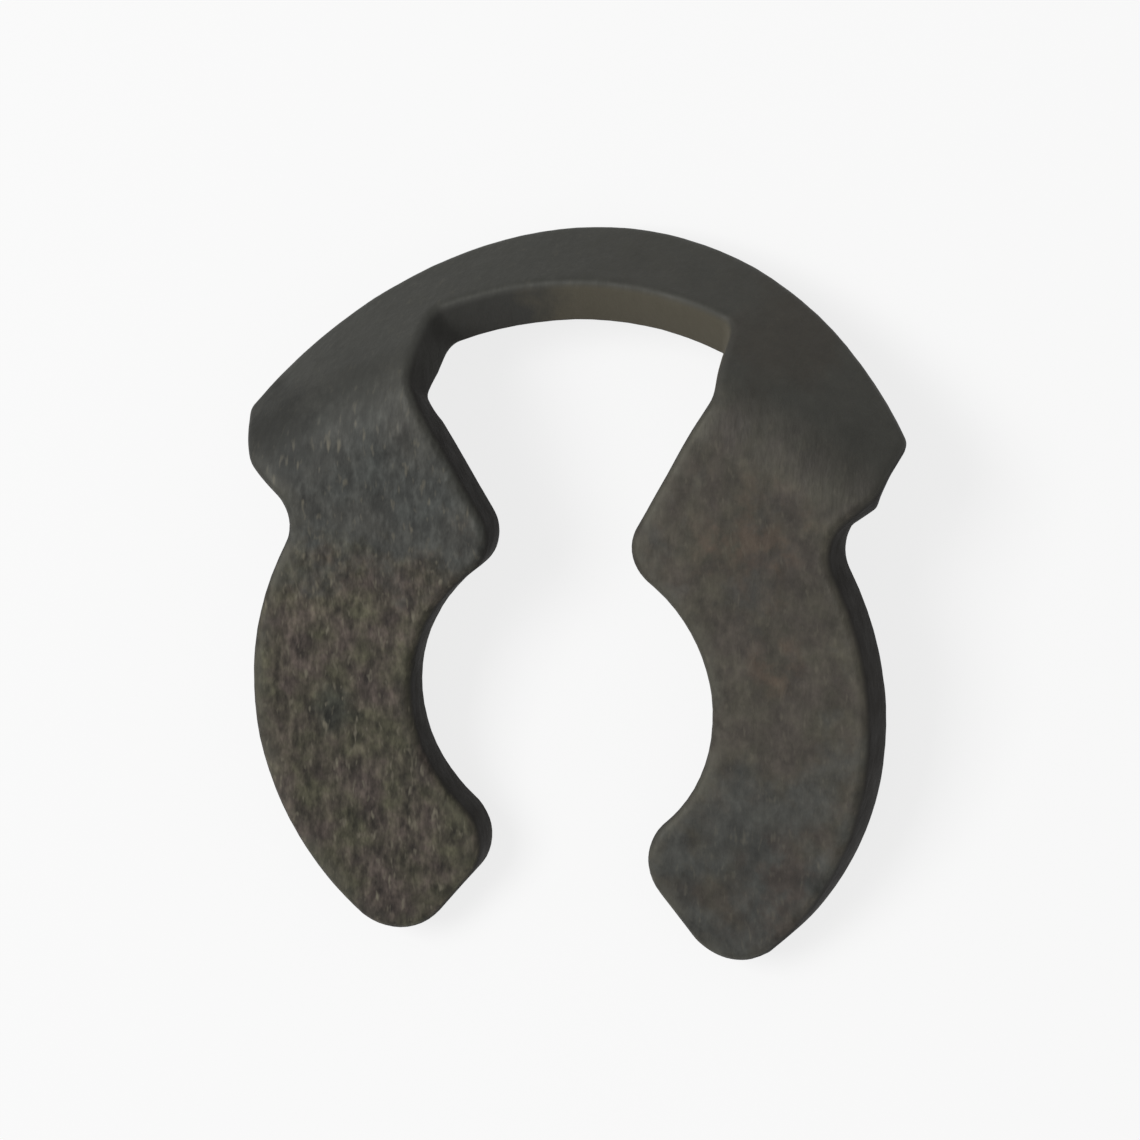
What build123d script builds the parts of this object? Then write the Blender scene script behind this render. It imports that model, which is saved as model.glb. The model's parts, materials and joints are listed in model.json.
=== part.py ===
from build123d import *
import os
from math import atan2, cos, degrees, radians, sin

# Retaining clip for a grooved pin, stamped from spring steel sheet in one piece, folded and bowed.
# Two arms grip the groove. A bridge joins them, folded away from the front face along an arch, so
# that it leans back as the rim of a dish does. The halves left and right of x = 0 match.
# Plan sizes are in millimetres, seen square to the front face at x = 0: x runs across the clip and
# y towards the bridge, from the axis of the seat. Angles and slopes are in degrees.

# Sheet
sheet_thickness = 1.5

# Bow across the clip, about a line in front of it, which brings the arms' outer sides forward
bow_radius = 60.0

# Seat that grips the pin: an arc on each arm, whose ends are measured from the x axis. It is bored
# straight through the bowed sheet, out of the stock that the stamped outline leaves there
seat_diameter = 9.5
seat_upper_angle = 51.5
seat_lower_angle = 46.5
seat_stock = 0.3

# Bumps above the seat and prongs below it, each at the end of a straight run off the seat's arc
bump_run = 1.4
bump_radius = 1.3
prong_run = 1.65
prong_radius = 1.6

# Arms, down to a cornered heel and a round tip beside the mouth
arm_width = 4.95
heel_angle = 48.0
heel_slope = 32.0
heel_radius = 0.35
mouth_slope = 50.0
tip_radius = 1.75

# Ears, with a notch between each ear and its arm
ear_side = 1.45
ear_side_slope = 66.0
ear_top_radius = 0.35
ear_foot_radius = 0.85
ear_underside_slope = 42.0
notch_radius = 1.3

# Fold between the arms and the bridge
fold_height = 8.8
fold_arch_radius = 13.6
fold_inner_radius = 1.5
fold_angle = 60.0

# Bridge, and the window under it
bridge_top = 13.75
bridge_radius = 12.75
bridge_half_angle = 55.0
bridge_width = 1.45
window_half_width = 4.75
window_corner_height = 11.4
window_side_length = 1.75
window_side_radius = 1.0
window_corner_radius = 0.45

# Rings of points that shape the front face: the first ring, the way from ring to ring and along a
# ring, and how closely the face keeps to the points
first_ring_radius = 1.0
ring_spacing = 0.4
ring_half_turn = 150
ring_step = 5
face_tolerance = 0.0005

seat_radius = seat_diameter / 2
arm_radius = seat_radius + arm_width
bore_length = 4 * sheet_thickness
fold_axis_y = fold_height - fold_arch_radius
fold_outer_radius = fold_inner_radius + sheet_thickness
fold_turn = radians(fold_angle)


def ray(angle, length=1.0):
    """Vector in plan, at an angle from the x axis."""
    return Vector(length * cos(radians(angle)), length * sin(radians(angle)))


def crossing(start, angle, other_start, other_angle):
    """Where two straight lines meet, each given by a point and an angle from the x axis."""
    along = ray(angle)
    other_along = ray(other_angle)
    return start + along * ((other_start - start).cross(other_along).Z / along.cross(other_along).Z)


def notch_corner(ear_foot):
    """Where the ear's underside, carried inwards, meets the arm's outer circle."""
    outward = ray(ear_underside_slope)
    along = ear_foot.dot(outward)
    return ear_foot - outward * (along - (along**2 - ear_foot.length**2 + arm_radius**2) ** 0.5)


def half_outline():
    """Right half of the plan outline, closed along x = 0, with every corner rounded."""
    bridge_crest = Vector(0, bridge_top)
    bridge_centre = Vector(0, bridge_top - bridge_radius)
    bridge_shoulder = bridge_centre + ray(90 - bridge_half_angle / 2, bridge_radius)
    ear_top = bridge_centre + ray(90 - bridge_half_angle, bridge_radius)
    ear_foot = ear_top - ray(ear_side_slope, ear_side)
    notch = notch_corner(ear_foot)
    arm_side = Vector(arm_radius, 0)
    heel = ray(-heel_angle, arm_radius)
    seat_top = ray(seat_upper_angle, seat_radius)
    seat_foot = ray(-seat_lower_angle, seat_radius)
    stock_top = ray(seat_upper_angle, seat_radius - seat_stock)
    stock_foot = ray(-seat_lower_angle, seat_radius - seat_stock)
    stock_side = Vector(seat_radius - seat_stock, 0)
    bump = seat_top + ray(90 + seat_upper_angle, bump_run)
    prong = seat_foot - ray(90 - seat_lower_angle, prong_run)
    tip = crossing(prong, -mouth_slope, heel, heel_slope)
    window_corner = Vector(window_half_width, window_corner_height)
    window_side = window_corner - Vector(0, window_side_length)
    window_crest = Vector(0, bridge_top - bridge_width)
    outline = Wire([
        Edge.make_three_point_arc(bridge_crest, bridge_shoulder, ear_top),
        Edge.make_line(ear_top, ear_foot),
        Edge.make_line(ear_foot, notch),
        Edge.make_three_point_arc(notch, arm_side, heel),
        Edge.make_line(heel, tip),
        Edge.make_line(tip, prong),
        Edge.make_line(prong, seat_foot),
        Edge.make_line(seat_foot, stock_foot),
        Edge.make_three_point_arc(stock_foot, stock_side, stock_top),
        Edge.make_line(stock_top, seat_top),
        Edge.make_line(seat_top, bump),
        Edge.make_line(bump, window_side),
        Edge.make_line(window_side, window_corner),
        Edge.make_tangent_arc(window_crest, Vector(1, 0), window_corner),
        Edge.make_line(window_crest, bridge_crest),
    ])
    rounded_corners = [
        (ear_top, ear_top_radius),
        (ear_foot, ear_foot_radius),
        (notch, notch_radius),
        (heel, heel_radius),
        (tip, tip_radius),
        (prong, prong_radius),
        (bump, bump_radius),
        (window_side, window_side_radius),
        (window_corner, window_corner_radius),
    ]
    half = Sketch(Face(outline).wrapped)
    for corner, radius in rounded_corners:
        half = fillet(half.vertices().sort_by_distance(corner)[0], radius)
    return half


def bowed(point):
    """Where a point of the folded clip goes when it is bowed, which leaves x = 0 as it is."""
    turned = point.X / bow_radius
    reach = bow_radius - point.Z
    return Vector(reach * sin(turned), point.Y, bow_radius - reach * cos(turned))


def front_point(run, side):
    """Point of the front face, so far along the sheet beyond the fold's start, and turned from y
    to a side about the fold's own axis."""
    turned = min(max(run / fold_outer_radius, 0), fold_turn)
    beyond = run - turned * fold_outer_radius
    outward = fold_arch_radius + fold_outer_radius * sin(turned) + beyond * cos(turned)
    depth = fold_outer_radius * (1 - cos(turned)) + beyond * sin(turned)
    return bowed(Vector(outward * sin(side), fold_axis_y + outward * cos(side), -depth))


def folded_front():
    """Front face before trimming: one smooth face through rings of points about the fold's axis."""
    first_run = first_ring_radius - fold_arch_radius
    last_run = (bridge_top - fold_height) / cos(fold_turn)
    ring_count = 1 + int((last_run - first_run) / ring_spacing)
    sides = [radians(side) for side in range(-ring_half_turn, ring_half_turn + 1, ring_step)]
    rings = [
        [front_point(first_run + ring * ring_spacing, side) for side in sides]
        for ring in range(ring_count)
    ]
    return Face.make_surface_from_array_of_points(rings, tol=face_tolerance)


def folded_clip():
    """The clip with its front face at z = 0 in the middle: the folded sheet, trimmed to the plan
    outline, given its thickness square to its surface, so that the cut edges follow the fold, and
    bored for the seat."""
    half = half_outline()
    outline = half + mirror(half, Plane.YZ)
    cutter = extrude(outline, bridge_top + arm_radius, both=True)
    front = folded_front().intersect(cutter).faces()[0]
    bore = Cylinder(seat_radius, bore_length)
    return (Solid.thicken(front, sheet_thickness) - bore).solids()[0]


def resting_tilt(clip):
    """Angle that lays the clip on the back corner at its bridge's crest and on its two arms."""
    rim_steps = 40
    rim = [edge.position_at(step / rim_steps) for edge in clip.edges() for step in range(rim_steps)]
    crest = min(rim, key=lambda point: point.Z)
    rises = [atan2(point.Z - crest.Z, crest.Y - point.Y) for point in rim if point.Y < 0]
    return degrees(min(rises))


level_clip = folded_clip()
tilt = resting_tilt(level_clip)
clip = Rot(tilt, 0, 0) * Pos(0, 0, sheet_thickness / 2) * level_clip
clip.label = "clip"

print("tilt", tilt, "volume", clip.volume, "valid", clip.is_valid, "box", clip.bounding_box())
os.makedirs("parts", exist_ok=True)
export_step(clip, "parts/clip.step")
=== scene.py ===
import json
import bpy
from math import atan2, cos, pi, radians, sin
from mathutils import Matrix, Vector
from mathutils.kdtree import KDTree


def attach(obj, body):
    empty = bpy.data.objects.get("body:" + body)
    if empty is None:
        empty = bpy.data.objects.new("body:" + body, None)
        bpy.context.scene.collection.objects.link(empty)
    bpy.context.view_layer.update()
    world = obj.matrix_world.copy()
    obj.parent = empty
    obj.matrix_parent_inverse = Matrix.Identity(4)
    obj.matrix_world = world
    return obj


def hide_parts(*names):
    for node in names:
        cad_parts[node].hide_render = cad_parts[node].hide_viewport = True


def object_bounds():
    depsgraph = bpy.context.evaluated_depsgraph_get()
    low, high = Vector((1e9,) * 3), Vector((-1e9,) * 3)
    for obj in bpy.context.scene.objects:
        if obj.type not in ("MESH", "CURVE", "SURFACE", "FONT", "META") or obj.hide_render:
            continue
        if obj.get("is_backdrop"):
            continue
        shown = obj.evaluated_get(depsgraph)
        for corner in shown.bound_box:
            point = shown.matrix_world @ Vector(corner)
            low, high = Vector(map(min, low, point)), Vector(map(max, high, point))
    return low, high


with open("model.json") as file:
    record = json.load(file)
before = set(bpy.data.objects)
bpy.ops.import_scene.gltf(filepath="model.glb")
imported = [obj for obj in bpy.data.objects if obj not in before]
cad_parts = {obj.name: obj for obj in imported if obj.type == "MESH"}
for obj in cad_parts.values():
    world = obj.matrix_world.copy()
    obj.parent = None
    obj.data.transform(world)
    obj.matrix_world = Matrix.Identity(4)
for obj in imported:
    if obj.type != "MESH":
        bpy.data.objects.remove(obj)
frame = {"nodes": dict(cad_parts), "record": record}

# %% [markdown]
# ## A folded spring-steel clip
# The clip is one stamping of 1.5 mm spring steel. Two arms snap round the groove of a pin, and a
# bridge that is folded back along an arch joins them. The whole sheet is also bowed a little, which
# brings the arms' outer sides forward. The CAD model already holds that shape, so this file gives
# it what stamping, tumbling and a dark chemical finish give the real one: rounded rims, a slightly
# uneven skin and a mottled colour.
# First come the modules, and the box of the CAD model, which the finished piece is measured against
# at the end.

MM = 0.001
cad_box = [list(corner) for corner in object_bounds()]
low, high = (Vector(corner) for corner in cad_box)
print("CAD box in mm:", [round(side / MM, 2) for side in high - low])

# %% [markdown]
# ## The camera
# The clip rests on its bridge's crest and its two arms, and the photograph was taken from almost
# straight above, a little to the right, so the cut edges that face right show as dark bands. A
# camera could be turned with three angles, but nearly overhead these are hard to picture. So the
# view is told by the direction from the clip to the camera: a lean to the right, a lean towards the
# bridge, and a slight twist of the picture.
# The frame's width covers `view_width` at the clip's distance.

# %% Camera
lean_right = radians(18.1)
lean_to_bridge = radians(0.04)
twist = radians(3.65)
camera_distance = 113.1 * MM
view_width = 34.27 * MM
view_centre = Vector((0.04, 3.85, 0.7)) * MM
nearest_in_view = 10 * MM
sensor_width_in_mm = 36

to_camera = Vector((
    sin(lean_right) * cos(lean_to_bridge),
    sin(lean_to_bridge),
    cos(lean_right) * cos(lean_to_bridge),
))
picture_right = Vector((0, 1, 0)).cross(to_camera).normalized()
picture_up = to_camera.cross(picture_right)
untwisted = Matrix((picture_right, picture_up, to_camera)).transposed()
camera_turn = untwisted @ Matrix.Rotation(twist, 3, "Z")
camera_place = Matrix.Translation(view_centre + to_camera * camera_distance)

camera_data = bpy.data.cameras.new("camera")
camera_data.sensor_width = sensor_width_in_mm
camera_data.lens = camera_data.sensor_width * camera_distance / view_width
camera_data.clip_start = nearest_in_view
camera = bpy.data.objects.new("camera", camera_data)
camera.matrix_world = camera_place @ camera_turn.to_4x4()
bpy.context.scene.collection.objects.link(camera)
bpy.context.scene.camera = camera
print("lens in mm:", round(camera_data.lens, 1))

# %% [markdown]
# ## Shader maths as plain sums
# A finish is a few patterns mixed by numbers. Wiring each Math node by hand hides the idea, so one
# small class wraps a node's output: sums and products of such outputs add their own Math nodes, in
# either order.

# %% A socket that can be reckoned with
class Signal:
    """An output socket in a material's node tree."""

    def __init__(self, tree, socket):
        self.tree = tree
        self.socket = socket

    def maths(self, operation, *inputs):
        """Adds a Math node, and gives its result."""
        made = self.tree.nodes.new("ShaderNodeMath")
        made.operation = operation
        for place, value in enumerate(inputs):
            put(self.tree, made.inputs[place], value)
        return Signal(self.tree, made.outputs[0])

    def __add__(self, other):
        return self.maths("ADD", self, other)

    def __radd__(self, other):
        return self.maths("ADD", other, self)

    def __sub__(self, other):
        return self.maths("SUBTRACT", self, other)

    def __rsub__(self, other):
        return self.maths("SUBTRACT", other, self)

    def __mul__(self, other):
        return self.maths("MULTIPLY", self, other)

    def __rmul__(self, other):
        return self.maths("MULTIPLY", other, self)

    def __truediv__(self, other):
        return self.maths("DIVIDE", self, other)

    def __pow__(self, other):
        return self.maths("POWER", self, other)

    def clipped(self):
        """The same value, kept between 0 and 1."""
        return self.maths("MINIMUM", self.maths("MAXIMUM", self, 0.0), 1.0)


def put(tree, socket, value):
    """Links a signal to a socket, or sets the socket's own value."""
    if isinstance(value, Signal):
        tree.links.new(value.socket, socket)
    else:
        socket.default_value = value


print("signals add, subtract, multiply, divide and take powers")

# %% [markdown]
# ## A material under way
# Every other node comes from `node`, which takes the node's type, its settings, and the values or
# links of its sockets. A Mix node has sockets of one name for numbers, vectors and colours alike,
# so those for colours are told by their number.

# %% A finish and its nodes
mix_share_input = 0
mix_first_colour = 6
mix_second_colour = 7
mix_colour_output = 2


class Finish:
    """A material under way: its node tree, and a way to add nodes to it."""

    def __init__(self, name):
        self.material = bpy.data.materials.new(name)
        self.material.use_nodes = True
        self.tree = self.material.node_tree
        self.tree.nodes.clear()

    def node(self, kind, settings=None, inputs=None, output=0):
        """Adds a node, sets it up, fills its sockets by name or number, and gives one output."""
        made = self.tree.nodes.new(kind)
        for setting, value in (settings or {}).items():
            setattr(made, setting, value)
        for socket, value in (inputs or {}).items():
            put(self.tree, made.inputs[socket], value)
        return Signal(self.tree, made.outputs[output]) if made.outputs else None

    def mix(self, share, first, second, blend="MIX"):
        """Mixes two colours. A share of 0 is all the first, and 1 is all the second."""
        return self.node(
            "ShaderNodeMix",
            {"data_type": "RGBA", "blend_type": blend},
            {mix_share_input: share, mix_first_colour: first, mix_second_colour: second},
            output=mix_colour_output,
        )


print("a finish can add nodes and mix colours")

# %% [markdown]
# ## The floor
# The photograph shows the clip on bare white. A white backdrop could be had by pouring light on the
# floor, but that would also bleach the clip. So the floor is a pale matt sheet under modest light,
# and only the camera and mirror-like reflections see it partly as plain white, which leaves the
# soft shadow that it catches.

# %% Floor
floor_width = 3000 * MM
bpy.ops.object.select_all(action="DESELECT")
bpy.ops.mesh.primitive_plane_add(size=floor_width, location=(0, 0, low.z))
floor = bpy.context.active_object
floor.name = "floor"
floor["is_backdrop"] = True

paper_grey = (0.82, 0.82, 0.82, 1)
plain_white = (1, 1, 1, 1)
most_whiteness = 0.8
paper = Finish("pale paper")
seen = paper.node("ShaderNodeLightPath", output="Is Camera Ray")
mirrored = paper.node("ShaderNodeLightPath", output="Is Glossy Ray")
passed = paper.node("ShaderNodeLightPath", output="Is Transmission Ray")
matt = paper.node("ShaderNodeBsdfDiffuse", inputs={"Color": paper_grey}, output="BSDF")
white = paper.node(
    "ShaderNodeEmission", inputs={"Color": plain_white, "Strength": 1.0}, output="Emission"
)
whiteness = most_whiteness * (seen + mirrored + passed).clipped()
surface = paper.node("ShaderNodeMixShader", inputs={0: whiteness, 1: matt, 2: white})
paper.node("ShaderNodeOutputMaterial", inputs={"Surface": surface})
floor.data.materials.append(paper.material)
print("floor at z in mm:", round(low.z / MM, 3))

# %% [markdown]
# ## Daylight
# The cut edges that face right are nearly black in the photograph, and the bridge darkens towards
# its right end. So the light came from above and from the left, and it was soft, as from a room's
# window. A small lamp would give hard shadows, and a sky alone none. So one large square lamp
# stands for the window, and a dim sky lights the rest.

# %% Lamp and sky
lamp_place = Vector((-170, 30, 300)) * MM
lamp_width = 200 * MM
lamp_brightness = 6.8
sky_brightness = 0.33

lamp_data = bpy.data.lights.new("window", "AREA")
lamp_data.size = lamp_width
lamp_data.energy = lamp_brightness * lamp_width * lamp_width * pi
lamp = bpy.data.objects.new("window", lamp_data)
lamp_aim = (lamp_place - view_centre).to_track_quat("Z", "Y").to_matrix().to_4x4()
lamp.matrix_world = Matrix.Translation(lamp_place) @ lamp_aim
bpy.context.scene.collection.objects.link(lamp)

sky = bpy.data.worlds.new("sky")
sky.use_nodes = True
sky.node_tree.nodes["Background"].inputs["Color"].default_value = plain_white
sky.node_tree.nodes["Background"].inputs["Strength"].default_value = sky_brightness
bpy.context.scene.world = sky
bpy.context.scene.view_settings.view_transform = "Standard"
print("one lamp of", round(lamp_data.energy, 2), "W and the sky")

# %% [markdown]
# ## The clip's body: back to the flat blank
# The CAD shape has knife-sharp rims, but the real clip was stamped flat, tumbled with stones, which
# rounds its rims by one to three tenths of a millimetre, and then folded. A bevel on the folded
# shape would run over long thin triangles and tear them. So this part follows the workshop
# backwards and forwards: a copy of the CAD mesh is unfolded into its flat blank, where every wall
# stands upright and a bevel is clean, and the fold is put back afterwards.
# The copy comes as loose triangles, so its corners are merged first.

# %% A merged copy of the CAD mesh
merge_distance = 0.001 * MM
body_mesh = frame["nodes"]["clip"].data.copy()
body = bpy.data.objects.new("clip_body", body_mesh)
bpy.context.scene.collection.objects.link(body)
body_mesh.materials.clear()


def work_on(piece, mode="OBJECT"):
    """Selects one piece alone and enters a mode."""
    if bpy.context.mode != "OBJECT":
        bpy.ops.object.mode_set(mode="OBJECT")
    bpy.ops.object.select_all(action="DESELECT")
    piece.select_set(True)
    bpy.context.view_layer.objects.active = piece
    bpy.ops.object.mode_set(mode=mode)


work_on(body, "EDIT")
bpy.ops.mesh.select_all(action="SELECT")
bpy.ops.mesh.remove_doubles(threshold=merge_distance)
bpy.ops.object.mode_set(mode="OBJECT")
print("merged corners:", len(body_mesh.vertices))

# %% [markdown]
# ## What bent the blank
# Two bends made the clip. The fold is a roll about an arch: seen from the arch's own centre, a
# point beyond the arch lies so far out and so far down. The bow is a roll of the whole sheet about
# a line far in front of it. Both have the measures that the CAD model was made with, and the angle
# at which the clip lies comes from the axis of its seat.

# %% Measures of the sheet, the fold and the bow
sheet_thickness = 1.5 * MM
bow_radius = 60 * MM
arch_centre_y = -4.8 * MM
arch_radius = 13.6 * MM
roll_radius = 3.0 * MM
roll_turn = radians(60)

seat_axis = Vector(frame["record"]["mounts"][0]["axis"])
rest_tilt = atan2(-seat_axis.y, seat_axis.z)
front_to_zero = Matrix.Translation((0, 0, -sheet_thickness / 2))
lay_flat = front_to_zero @ Matrix.Rotation(-rest_tilt, 4, "X")
print("the clip lies tilted by degrees:", round(rest_tilt * 180 / pi, 2))

# %% [markdown]
# ## Undoing the bow and the fold
# A modifier such as Simple Deform bends about a straight line only, and this fold follows an arch.
# So each corner is moved by its own sum: it is laid flat, then the bow is undone, then the fold.
# The front face has to come out level, which is a good test of all the measures.

# %% Unbowed and unfolded
def unbowed(point):
    """Where a point of the clip lies without its bow across."""
    turned = atan2(point.x, bow_radius - point.z)
    reach = Vector((point.x, bow_radius - point.z)).length
    return Vector((bow_radius * turned, point.y, bow_radius - reach))


def unfolded(point):
    """Where a point of the folded sheet lies in the flat blank, whose front face is at z = 0."""
    outward = Vector((point.x, point.y - arch_centre_y, 0))
    across = outward.length - arch_radius
    if across <= 0:
        return point.copy()
    above = point.z + roll_radius
    turned = atan2(across, above)
    if turned < roll_turn:
        run = roll_radius * turned
        depth = roll_radius - (across * across + above * above) ** 0.5
    else:
        run = roll_radius * roll_turn + across * cos(roll_turn) - above * sin(roll_turn)
        depth = roll_radius - across * sin(roll_turn) - above * cos(roll_turn)
    flat = outward.normalized() * (arch_radius + run)
    return Vector((flat.x, flat.y + arch_centre_y, -depth))


front_slack = 0.02 * MM
for corner in body_mesh.vertices:
    corner.co = unfolded(unbowed(lay_flat @ corner.co))
front_heights = [
    abs(corner.co.z) for corner in body_mesh.vertices if abs(corner.co.z) < front_slack
]
print(len(front_heights), "front corners, level within mm:", round(max(front_heights) / MM, 4))

# %% [markdown]
# ## A clean blank
# The walls of the CAD mesh hold many stray corners, which would spoil a bevel. A blank needs none
# of them: it is its front face, given its thickness. So all but the front is deleted, the front's
# triangles are dissolved into one many-sided face, and that face is extruded straight down.

# %% The front face, extruded
dissolve_angle = radians(0.2)


def on_front(face):
    """Whether all corners of a face are on the front."""
    return all(abs(body_mesh.vertices[corner].co.z) < front_slack for corner in face.vertices)


work_on(body, "EDIT")
bpy.ops.mesh.select_mode(type="FACE")
bpy.ops.mesh.select_all(action="DESELECT")
bpy.ops.object.mode_set(mode="OBJECT")
for face in body_mesh.polygons:
    face.select = not on_front(face)
bpy.ops.object.mode_set(mode="EDIT")
bpy.ops.mesh.delete(type="FACE")
bpy.ops.object.mode_set(mode="OBJECT")
for corner in body_mesh.vertices:
    corner.co.z = 0
bpy.ops.object.mode_set(mode="EDIT")
bpy.ops.mesh.select_all(action="SELECT")
bpy.ops.mesh.dissolve_limited(angle_limit=dissolve_angle)
bpy.ops.mesh.select_all(action="SELECT")
bpy.ops.mesh.extrude_region_move(
    TRANSFORM_OT_translate={"value": (0, 0, -sheet_thickness)}
)
bpy.ops.mesh.select_all(action="SELECT")
bpy.ops.mesh.normals_make_consistent(inside=False)
bpy.ops.object.mode_set(mode="OBJECT")
print("faces of the blank:", len(body_mesh.polygons))

# %% [markdown]
# ## Rounded rims
# The rim is every edge where the front or the back meets a wall. A sheet is drawn down round the
# tool before it shears, so a stamped rim is rounder on one side than on the other, where only the
# tumbling softened it. One bevel could round them all alike. Here each side has its own, and the
# front's is the wide one: in the photograph the face rolls over into the dark wall with a soft
# light band before it.

# %% Bevels of the rims
front_rounding = 0.30 * MM
back_rounding = 0.13 * MM
least_upright = 0.9


def level(face):
    """Whether a face belongs to the front or the back, and not to a wall."""
    return abs(face.normal.z) > least_upright


def select_rim(height):
    """Selects the edges at one height where a level face meets a wall, and counts them."""
    beside = {}
    for face in body_mesh.polygons:
        for key in face.edge_keys:
            beside.setdefault(key, []).append(face)
    chosen = 0
    for edge in body_mesh.edges:
        faces = beside[edge.key]
        ends = [body_mesh.vertices[end].co.z for end in edge.vertices]
        at_height = all(abs(end - height) < front_slack for end in ends)
        edge.select = at_height and len(faces) == 2 and level(faces[0]) != level(faces[1])
        chosen += edge.select
    return chosen


def round_rim(height, rounding, segments):
    """Bevels the rim at one height."""
    work_on(body, "EDIT")
    bpy.ops.mesh.select_mode(type="EDGE")
    bpy.ops.mesh.select_all(action="DESELECT")
    bpy.ops.object.mode_set(mode="OBJECT")
    rim_edges = select_rim(height)
    bpy.ops.object.mode_set(mode="EDIT")
    bpy.ops.mesh.bevel(
        offset=rounding, offset_type="OFFSET", segments=segments, profile=0.5, clamp_overlap=False
    )
    bpy.ops.object.mode_set(mode="OBJECT")
    print("rim edges:", rim_edges, "faces after the bevel:", len(body_mesh.polygons))


round_rim(0, front_rounding, segments=5)
round_rim(-sheet_thickness, back_rounding, segments=3)

# %% [markdown]
# ## A fine net over the blank
# The fold needs corners to bend at, and the relief needs corners to push. Both faces are single
# many-sided faces now, which a subdivision would leave ragged. So they are cut by upright planes
# first, one row after the other. The first plane stands a little off a whole cell, because a cut
# that runs through the blank's own corners can leave slivers.

# %% Cuts across the blank
cell = 0.25 * MM
first_cut = 0.3 * cell


def cut_across(normal, start, end):
    """Cuts the whole mesh by planes one cell apart."""
    cuts = int((end - start) / cell)
    for number in range(1, cuts):
        bpy.ops.mesh.select_all(action="SELECT")
        bpy.ops.mesh.bisect(plane_co=Vector(normal) * (start + number * cell), plane_no=normal)


blank_low = Vector([min(corner.co[way] for corner in body_mesh.vertices) for way in range(3)])
blank_high = Vector([max(corner.co[way] for corner in body_mesh.vertices) for way in range(3)])
work_on(body, "EDIT")
cut_across((1, 0, 0), blank_low.x + first_cut, blank_high.x)
cut_across((0, 1, 0), blank_low.y + first_cut, blank_high.y)
bpy.ops.object.mode_set(mode="OBJECT")
print("blank in mm:", [round(side / MM, 2) for side in blank_high - blank_low])
print("faces of the net:", len(body_mesh.polygons))

# %% [markdown]
# ## Each cell halved
# Cutting twice as many rows would take long, and one subdivision halves every cell at once. Its
# simple kind rounds nothing, which suits a body whose rims already have their shape.

# %% One plain subdivision
def apply_modifier(piece, kind, name, **settings):
    """Adds a modifier, sets it up and applies it."""
    work_on(piece)
    modifier = piece.modifiers.new(name, kind)
    for setting, value in settings.items():
        setattr(modifier, setting, value)
    bpy.ops.object.modifier_apply(modifier=modifier.name)


apply_modifier(
    body, "SUBSURF", "halved cells", subdivision_type="SIMPLE", levels=1, render_levels=1
)
print("faces once halved:", len(body.data.polygons))

# %% [markdown]
# ## Notes for the material
# The finish changes with the place on the sheet: its cut walls are darker than its faces, partly
# as painted shade, the folded bridge is smoother than the arms, and beside the rims the skin is
# rubbed paler, with a painted highlight added beside those that face left. That is easy to tell on
# the flat blank and hard to tell once it is folded.
# So before the fold goes back in, each corner of the mesh notes how far it belongs to a wall, how
# far the fold will turn it, and how near it is to a rim. A tree of the rims' corners finds the
# nearest one quickly.

# %% Attributes
wall_share = body.data.attributes.new("wall_share", "FLOAT", "POINT")
fold_share = body.data.attributes.new("fold_share", "FLOAT", "POINT")
rim_wear_and_highlight = body.data.attributes.new("rim_wear_and_highlight", "FLOAT", "POINT")
rim_band_width = 0.9 * MM
least_rubbed = 0.5
wall_slope = 0.3

rim_corners = [
    corner.co.xy.to_3d() for corner in body.data.vertices if abs(corner.normal.z) < wall_slope
]
rims = KDTree(len(rim_corners))
for number, point in enumerate(rim_corners):
    rims.insert(point, number)
rims.balance()
for corner in body.data.vertices:
    flat = corner.co.xy.to_3d()
    run = Vector((flat.x, flat.y - arch_centre_y)).length - arch_radius
    rim, _, from_rim = rims.find(flat)
    # Rims that face left get a painted highlight on top of the rubbed wear, so their share grows
    # from least_rubbed towards 1.
    highlight_leftness = max((flat.x - rim.x) / from_rim, 0) if from_rim else 0
    nearness = max(1 - from_rim / rim_band_width, 0)
    wall_share.data[corner.index].value = 1 - corner.normal.z ** 2
    fold_share.data[corner.index].value = min(max(run / (roll_radius * roll_turn), 0), 1)
    rim_wear_and_highlight.data[corner.index].value = nearness * (least_rubbed + (1 - least_rubbed) * highlight_leftness)
print("wall corners:", sum(1 for share in wall_share.data if share.value > 0.5))

# %% [markdown]
# ## Folding
# Now the press does its work: the bridge is folded, the sheet is bowed, and the clip goes back to
# where it lies.

# %% The fold and the bow go back in
def folded(point):
    """Where a point of the flat blank goes when the bridge is folded."""
    outward = Vector((point.x, point.y - arch_centre_y, 0))
    run = outward.length - arch_radius
    if run <= 0:
        return point.copy()
    turned = min(run / roll_radius, roll_turn)
    beyond = run - turned * roll_radius
    radius = roll_radius + point.z
    across = radius * sin(turned) + beyond * cos(turned)
    above = radius * cos(turned) - beyond * sin(turned)
    out = outward.normalized() * (arch_radius + across)
    return Vector((out.x, out.y + arch_centre_y, above - roll_radius))


def bowed(point):
    """Where a point of the folded clip goes when it is bowed."""
    turned = point.x / bow_radius
    reach = bow_radius - point.z
    return Vector((reach * sin(turned), point.y, bow_radius - reach * cos(turned)))


stand_up = lay_flat.inverted()
for corner in body.data.vertices:
    corner.co = stand_up @ bowed(folded(corner.co))
body.data.update()
print("highest corner in mm:", round(max(corner.co.z for corner in body.data.vertices) / MM, 3))

# %% [markdown]
# ## The skin's relief
# Rolled, hardened and phosphated sheet is never quite flat: it has shallow dents, and fine pits
# where rust sat. Painting these as bump would leave the outline clean, so the larger ones are
# pushed into the mesh itself by two cloudy patterns, and only the finest grain is left to the
# material.

# %% Dents and pits in the mesh
def push_clouds(name, size, detail, depth):
    """Pushes a cloudy pattern into the body, both in and out, with sizes in mm."""
    texture = bpy.data.textures.new(name, "CLOUDS")
    texture.noise_scale = size * MM
    texture.noise_depth = detail
    apply_modifier(
        body, "DISPLACE", name,
        texture=texture, texture_coords="LOCAL", strength=depth * MM, mid_level=0.5,
    )


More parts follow.
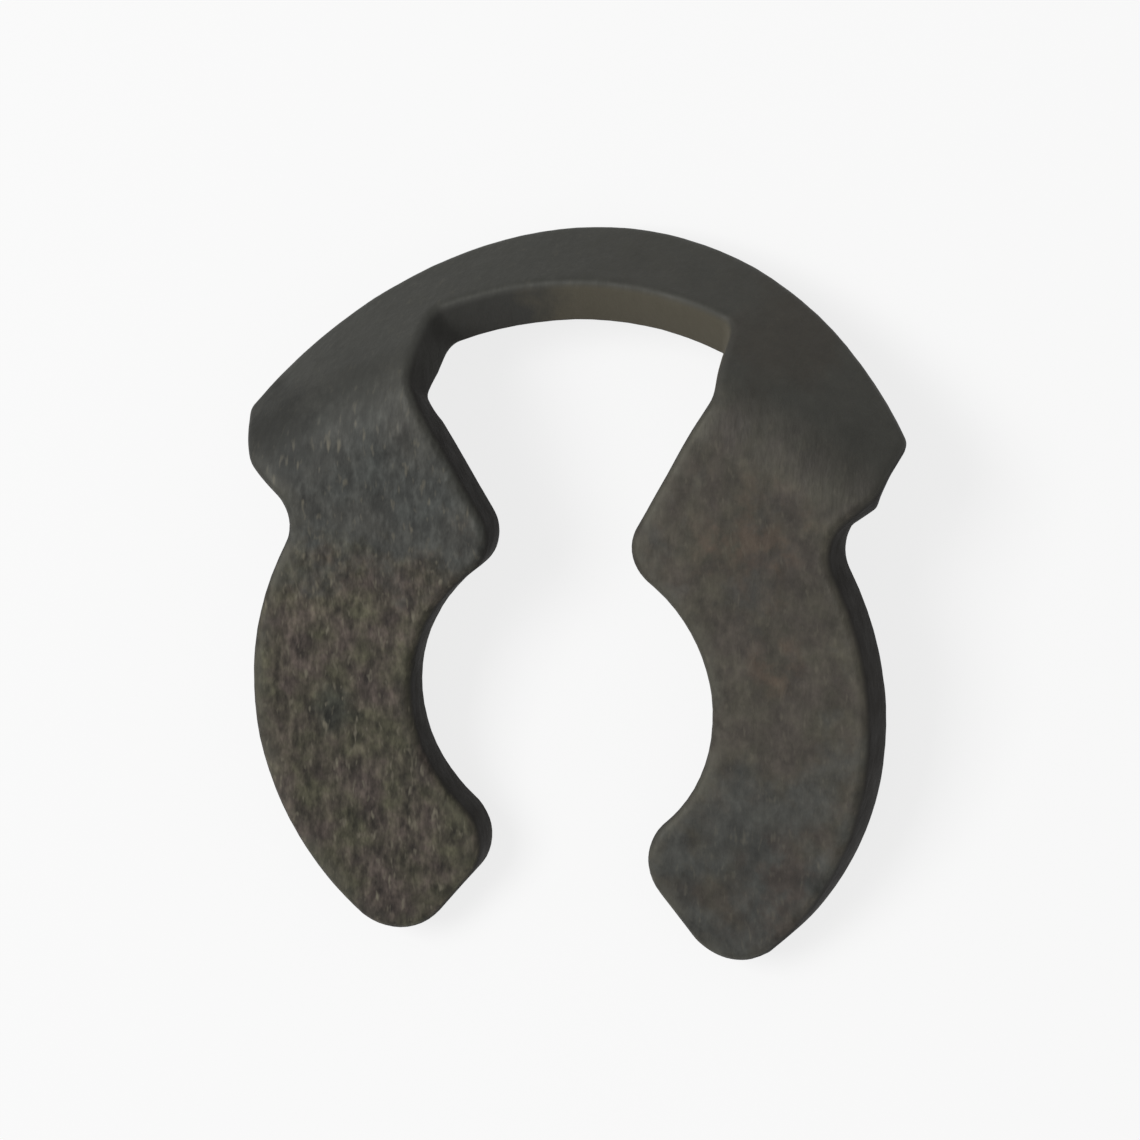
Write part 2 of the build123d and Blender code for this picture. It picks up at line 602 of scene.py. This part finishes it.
push_clouds("dents", size=1.8, detail=1, depth=0.03)
push_clouds("pits", size=0.5, detail=2, depth=0.012)
work_on(body)
bpy.ops.object.shade_smooth()
print("body size in mm:", [round(side / MM, 3) for side in body.dimensions])

# %% [markdown]
# ## Dark finish, grain and rust
# The real skin is a thin dark phosphate layer on steel, so it is matt, nearly black-brown, and
# slightly metallic. The bridge kept it best. On the arms it has worn to a cooler grey, and below it
# has weathered to olive and mauve. All over the arms run short upright streaks, left by rolling,
# and beside the rims it is rubbed paler, with a painted highlight beside the rims that face left.
# One picture could hold all this, but it would show one side only and blur when seen near. So each
# is a noise of its own size: some choose between colours, others only lighten or darken.
# This cell makes the means: a noise that is measured in millimetres on the clip, and a ramp.

# %% Clouds in millimetres
steel = Finish("phosphated steel")
place = steel.node("ShaderNodeTexCoord", output="Object")
in_mm = steel.node("ShaderNodeVectorMath", {"operation": "SCALE"}, {0: place, "Scale": 1 / MM})


def cloud(size, detail=3.0, roughness=0.55, stretch=(1, 1, 1)):
    """A noise whose blotches are about so many mm wide, stretched by so much along each axis."""
    grid = steel.node(
        "ShaderNodeMapping", {"vector_type": "TEXTURE"}, {"Vector": in_mm, "Scale": stretch}
    )
    return steel.node(
        "ShaderNodeTexNoise",
        inputs={"Vector": grid, "Scale": 1 / size, "Detail": detail, "Roughness": roughness},
        output="Fac",
    )


def between(signal, start, end):
    """Rises from 0 to 1 while the signal goes from start to end."""
    return ((signal - start) / (end - start)).clipped()


blotches = cloud(2.2, detail=4)
hues = cloud(1.3, detail=5, roughness=0.62)
shades = cloud(0.9, detail=4, roughness=0.6)
mottle = cloud(0.52, detail=3, roughness=0.6, stretch=(1, 1.45, 1))
streaks = cloud(0.21, detail=2, roughness=0.6, stretch=(1, 2.9, 1))
flecks = cloud(0.16, detail=1, stretch=(1, 3.6, 1))
print("nodes for the noises:", len(steel.tree.nodes))

# %% [markdown]
# ## Places on the clip
# Wear isn't alike all over: the left arm's upper half stayed grey, the right arm has rust, the
# bridge is smooth. A painted mask could say so, but it would need an unwrapped mesh. Here a place
# is told by the notes that the corners carry, by the way across, or by a soft round patch. The
# patch is reckoned in plan, so that it reaches the raised parts too, and a noise ruffles its rim.

# %% Walls, rims, arms and patches
in_plan = steel.node("ShaderNodeVectorMath", {"operation": "MULTIPLY"}, {0: in_mm, 1: (1, 1, 0)})
across = steel.node("ShaderNodeSeparateXYZ", inputs={0: in_mm}, output="X")
along = steel.node("ShaderNodeSeparateXYZ", inputs={0: in_mm}, output="Y")
ragged = (cloud(1.6, detail=4, roughness=0.65) - 0.5) * 2
patch_core = 0.4


def patch(x, y, reach):
    """A soft round patch with a ragged rim, about a place in mm in plan."""
    away = steel.node(
        "ShaderNodeVectorMath", {"operation": "DISTANCE"}, {0: in_plan, 1: (x, y, 0)},
        output="Value",
    )
    return between(away + ragged * reach, reach, reach * patch_core)


def noted(name):
    """A note that the mesh's corners carry."""
    return steel.node("ShaderNodeAttribute", {"attribute_name": name}, output="Fac")


wall = noted("wall_share")
near_rim_and_highlight = noted("rim_wear_and_highlight")
turned_away = noted("fold_share")
on_arms = 1 - between(turned_away, 0.1, 0.8)
left_arm = between(across, 1.0, -1.0)
right_arm = 1 - left_arm
print("nodes with the places:", len(steel.tree.nodes))

# %% [markdown]
# ## Colours of the faces
# Seen near, the dark skin has many hues: cool grey and slate where it is whole, olive, mauve and
# brown where it has weathered, rust in two spots, one dark green spot, and a brown tinge at the
# bridge's right end. They are laid over each other as thin paint is, each through a mask.

# %% Weathered arms and the bridge
cool_grey = (0.070, 0.069, 0.061, 1)
slate = (0.062, 0.066, 0.061, 1)
bridge_grey = (0.062, 0.062, 0.054, 1)
bridge_brown = (0.058, 0.053, 0.044, 1)
mauve = (0.080, 0.064, 0.054, 1)
olive = (0.072, 0.068, 0.044, 1)
brown_grey = (0.074, 0.065, 0.052, 1)

colour = steel.mix(between(blotches, 0.35, 0.65), cool_grey, slate)
weathered_left = left_arm * between(along + ragged * 3, 4.4, 2.8)
weathered_right = right_arm * between(blotches + between(along, -5.0, 0.5) * 0.2, 0.5, 0.64)
weathered_right = weathered_right * (1 - patch(5.8, -3.2, 1.8) * 0.8)
weathered_hue = steel.mix(between(hues, 0.38, 0.62), mauve, olive)
calmer_hue = steel.mix(right_arm * 0.55, weathered_hue, brown_grey)
colour = steel.mix(weathered_left + weathered_right * 0.9, colour, calmer_hue)
print("nodes with the weathering:", len(steel.tree.nodes))

# %% [markdown]
# ## Spots of rust and the bridge
# The spots are patches at their own places. Inside most of them a noise breaks the colour up, so
# that no spot looks stamped on. The bridge comes last and covers what ran on past the fold.

# %% Spots, then the bridge
rust = (0.086, 0.062, 0.045, 1)
dark_green = (0.040, 0.043, 0.035, 1)

colour = steel.mix(patch(-7.2, -1.1, 0.9) * 0.8, colour, dark_green)
colour = steel.mix(patch(6.1, 5.2, 2.2) * between(shades, 0.45, 0.6) * 0.7, colour, rust)
colour = steel.mix(patch(6.8, 1.3, 1.1) * between(shades, 0.42, 0.58) * 0.7, colour, rust)
colour = steel.mix(patch(7.0, -5.4, 2.2) * between(hues, 0.45, 0.6) * 0.8, colour, mauve)
bridge_hue = steel.mix(patch(6.5, 11.5, 2.4) * 0.8, bridge_grey, bridge_brown)
colour = steel.mix((1 - on_arms) * 0.9, colour, bridge_hue)
print("nodes with the spots:", len(steel.tree.nodes))

# %% [markdown]
# ## Light and dark over the faces
# The skin's brightness changes more than its hue. A slow and a quick noise are bent so that most of
# the skin is a little darker and few dots are much lighter, as worn high spots are. Soft patches
# make whole regions lighter or darker: on the arms they follow the skin's own tone, and over the
# left ear, the fold beside it, the bridge's right half and the right ear they are painted shade.
# All this multiplies the colour, so that the hues stay.

# %% Mottle, streaks, toned regions and painted shade
def mostly_dark(noise):
    """A noise about 0, with much a little below it and little far above it."""
    return between(noise, 0.25, 0.8) ** 1.8 - 0.26


busy = on_arms * (0.42 + 0.13 * left_arm + 0.36 * weathered_left) + 0.12
cloudy_tone = (shades - 0.5) * (0.25 + 0.75 * right_arm) * (0.3 + 0.7 * on_arms)
slow = mostly_dark(mottle) * (1.4 + 0.3 * right_arm)
quick = mostly_dark(streaks) * (1.5 - 0.8 * right_arm)
tone = 1 + cloudy_tone + busy * (slow + quick)
# The darkening patches over the left ear, the fold and the bridge's right half are painted shade;
# the rest follow the skin's own tone.
# Each row: the place across and along, the reach, all in mm, and the change of brightness.
tone_and_shade_patches = [
    # Painted shade over the left ear and the fold beside it
    (-9.0, 7.4, 2.2, -0.42),
    (-6.8, 8.9, 1.8, -0.13),
    # The left arm
    (-7.0, 2.4, 2.0, 0.16),
    (-9.2, 0.4, 1.0, 0.20),
    (-8.6, -3.2, 1.0, 0.14),
    (-4.4, 1.6, 0.9, 0.14),
    (-4.9, -5.2, 2.2, -0.05),
    # The right arm
    (3.7, 3.3, 1.0, 0.18),
    (3.7, 5.1, 1.0, 0.12),
    (6.0, 5.0, 4.4, -0.12),
    (6.9, 4.0, 0.5, -0.20),
    (7.3, -0.5, 1.8, -0.09),
    (5.6, -5.2, 3.2, -0.18),
    # Painted shade over the bridge's right half and the right ear, and a lighter patch at the notch
    (5.0, 8.6, 1.4, -0.10),
    (4.2, 10.7, 1.0, -0.12),
    (7.8, 7.4, 1.5, -0.10),
    (8.7, 5.2, 0.9, 0.18),
]
local_tone_and_shade = sum((patch(x, y, reach) * change for x, y, reach, change in tone_and_shade_patches), 1.0)
colour = steel.mix(1.0, colour, tone * local_tone_and_shade, blend="MULTIPLY")
print("toned regions:", len(tone_and_shade_patches))

# %% [markdown]
# ## Rubbed rims with a painted highlight, and cream flecks
# Handling rubs the skin thin beside the rims, so that it looks paler there, and beside the rims
# that face left a painted highlight is added to this. The arms are also strewn with small cream
# flecks.
# Both could be noise alone. Here the first follows the nearness to a rim, and the second is
# strongest where the skin is busiest.

# %% Wear and a painted highlight over the faces
# A pale colour for rubbed rims and for the painted highlight beside the rims that face left.
rubbed_and_highlit = (0.112, 0.108, 0.086, 1)
cream = (0.190, 0.172, 0.128, 1)

# Paler beside the rims: wear, with a painted highlight added beside the rims that face left.
worn_and_highlit = between(near_rim_and_highlight, 0.2, 0.75) * between(shades, 0.3, 0.55) * on_arms
colour = steel.mix(worn_and_highlit * (0.5 + 0.15 * right_arm), colour, rubbed_and_highlit)
chipped = between(flecks, 0.62, 0.84) * busy * (1 - 0.5 * right_arm)
colour = steel.mix(chipped, colour, cream)
print("nodes with the wear:", len(steel.tree.nodes))

# %% [markdown]
# ## Cut walls
# A punch leaves a torn, rough wall, which is nearly black in the photograph wherever it faces
# right. Its near-black colour is partly the torn steel's own and partly painted shade, so that the
# walls stay dark on every side. The bridge's lower wall, over the opening between the arms, gets
# painted bounce light instead: it is paler than the light alone would make it, grey at the left and
# tan from the middle on. The note on the mesh tells the walls from the faces, so no wall needs to
# be selected and no second material is needed.

# %% Colours of the walls: painted shade and painted bounce light
# Near black for the cut walls: partly the torn steel's own colour, partly painted shade.
edge_dark_and_shade = (0.0115, 0.0092, 0.0072, 1)
# Grey and tan are painted bounce light on the wall over the window.
edge_grey_half_lit = (0.044, 0.043, 0.038, 1)
edge_tan_bounce_lit = (0.090, 0.080, 0.056, 1)

inside_sides = between(across, 6.0, 5.0) * between(across, -6.5, -5.5)
# The wall over the window gets painted bounce light: grey at the left, tan from the middle on.
over_window_lit = between(turned_away, 0.4, 0.9) * inside_sides
bounce_lit_share = between(across + ragged * 2, -2.4, -0.6)
wall_colour_light_and_shade = steel.mix(over_window_lit, edge_dark_and_shade, steel.mix(bounce_lit_share, edge_grey_half_lit, edge_tan_bounce_lit))
wall_skin = between(wall, 0.45, 0.97)
colour = steel.mix(wall_skin * 0.95, colour, wall_colour_light_and_shade)
print("nodes with the walls:", len(steel.tree.nodes))

# %% [markdown]
# ## The skin as a surface
# The skin shines half as a metal does and half as a matt paint, and least on the torn walls. A fine
# bump could come from a noise of its own. Here it comes from the same mottle and streaks as the
# colour, so that the two agree: what is darker also lies a little deeper.

# %% Sheen and grain
skin_metallic = 0.5
skin_roughness = 0.5
grain_depth = 0.03 * MM

relief = steel.node(
    "ShaderNodeBump",
    inputs={"Height": mottle * 0.4 + streaks * 0.6, "Distance": grain_depth, "Strength": 1.0},
    output="Normal",
)
sheen = steel.node(
    "ShaderNodeBsdfPrincipled",
    inputs={
        "Base Color": colour,
        "Metallic": skin_metallic * (1 - wall_skin * 0.9),
        "Roughness": skin_roughness + mottle * 0.3 + wall_skin * 0.2,
        "Normal": relief,
    },
    output="BSDF",
)
steel.node("ShaderNodeOutputMaterial", inputs={"Surface": sheen})
body.data.materials.append(steel.material)
print("nodes in the finish:", len(steel.tree.nodes))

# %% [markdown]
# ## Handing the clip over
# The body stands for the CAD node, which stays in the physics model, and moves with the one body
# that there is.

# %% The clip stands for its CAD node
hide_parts("clip")
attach(body, "root")
print("handed over:", body.name)

# %% [markdown]
# ## The last measure
# The finished clip should keep within the CAD model's box, because the rims were only rounded. The
# two boxes are written side by side.

# %% The finished box beside the CAD box
finished_box = [list(corner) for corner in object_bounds()]
for name, box in (("CAD", cad_box), ("finished", finished_box)):
    print(name, "box in mm:", [[round(value / MM, 3) for value in corner] for corner in box])
